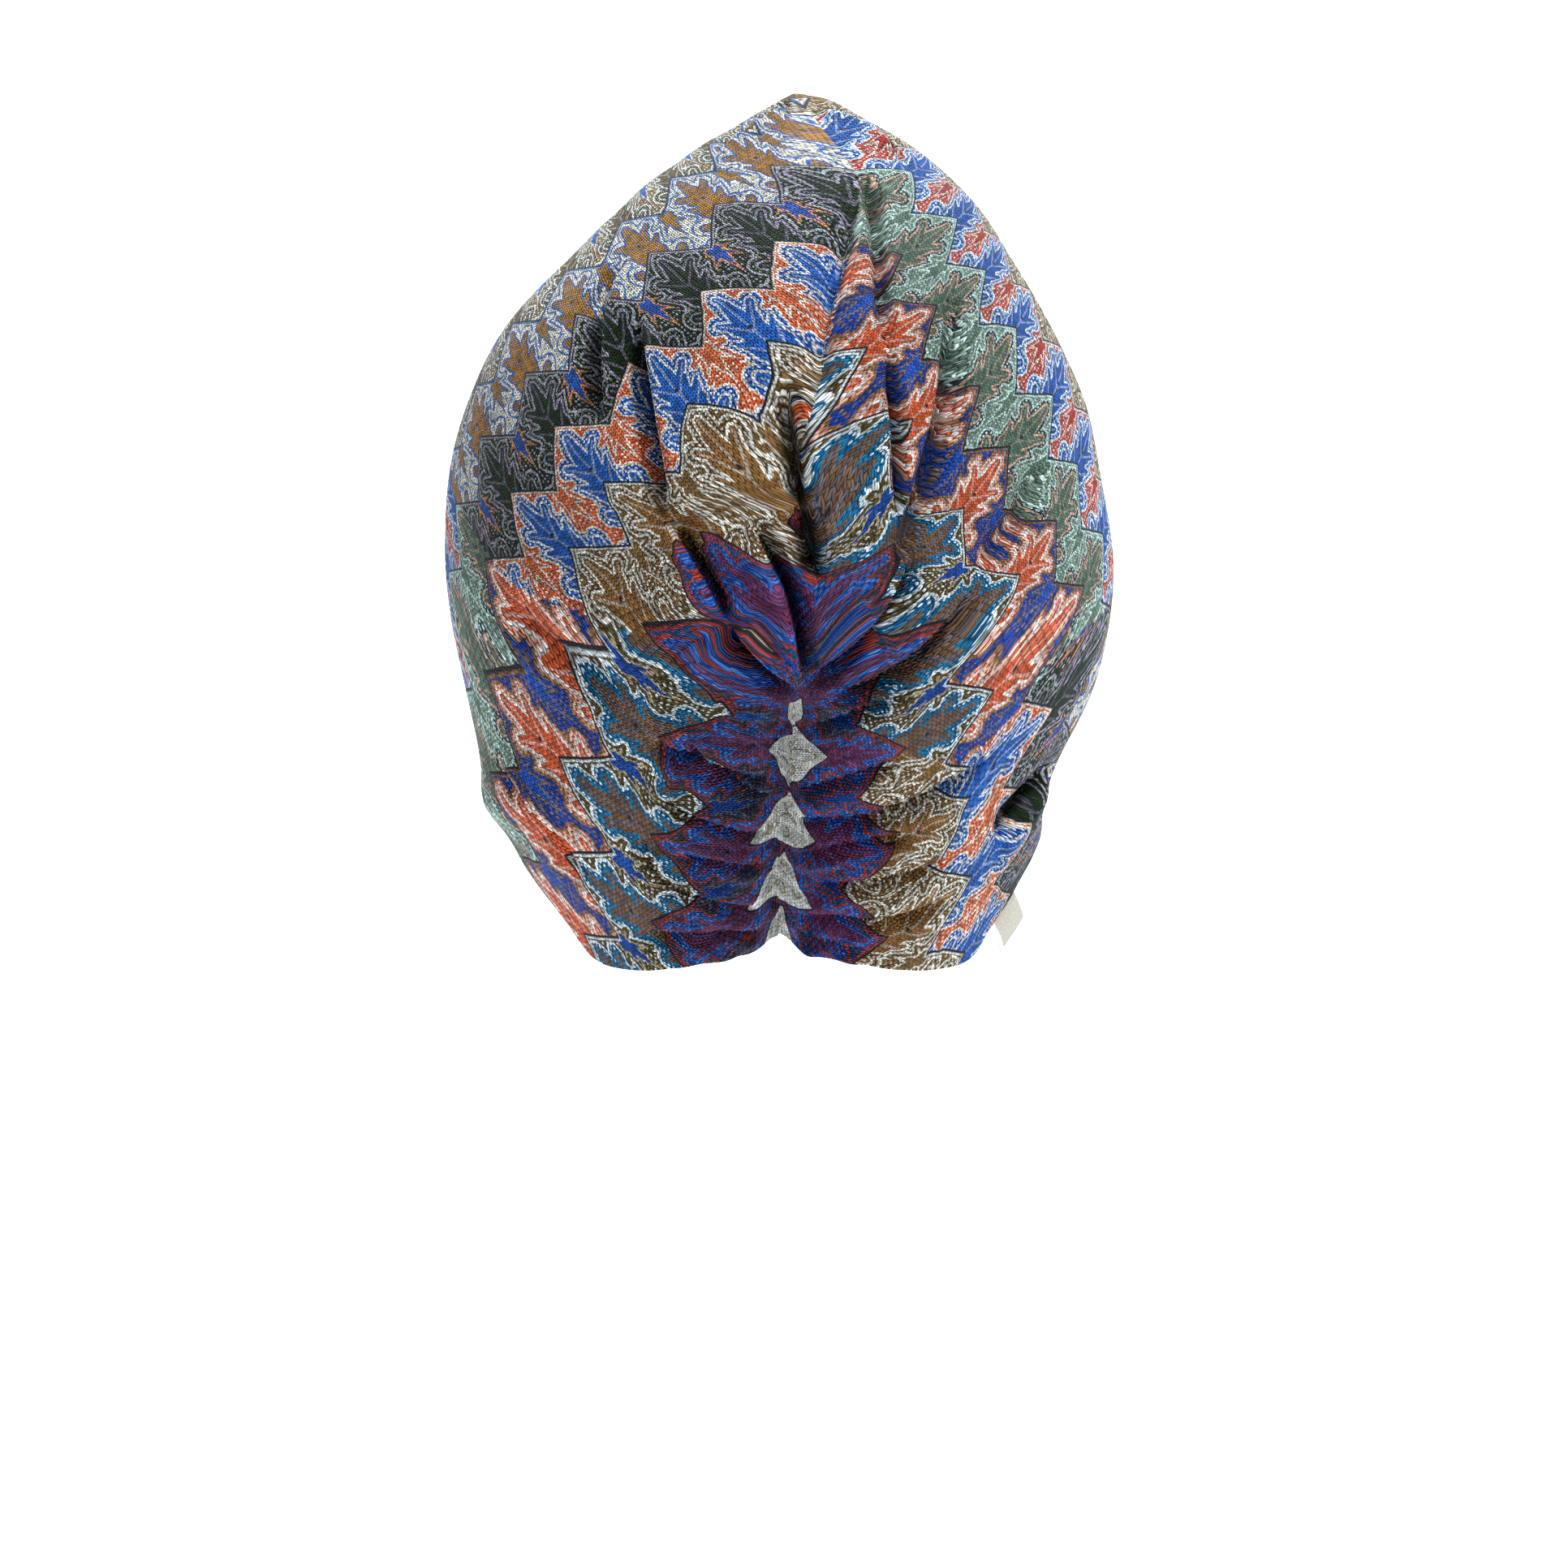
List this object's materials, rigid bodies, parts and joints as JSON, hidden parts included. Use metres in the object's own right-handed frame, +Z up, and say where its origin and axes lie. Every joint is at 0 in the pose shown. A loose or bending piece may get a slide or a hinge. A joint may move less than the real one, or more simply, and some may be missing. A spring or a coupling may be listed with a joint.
{
  "type": "twisted turban hat",
  "caption": "Soft knitted turban hat with a peaked crown, a crossed twist at the front and a gathered seam at the nape, shown in its worn form.",
  "frame": {"origin": "middle of the head opening, level with the lowest point of the nape hem", "axes": "+Z up through the crown, +Y towards the face, +X towards the wearer's right"},
  "size_m": [0.2, 0.2442, 0.2645],
  "materials": {
    "leaf_knit": "matte multicolour leaf lace knit",
    "label_cloth": "matte woven tape"
  },
  "bodies": {
    "root": {"crown": "leaf_knit", "front_twist": "leaf_knit", "label": "label_cloth"}
  },
  "joints": []
}
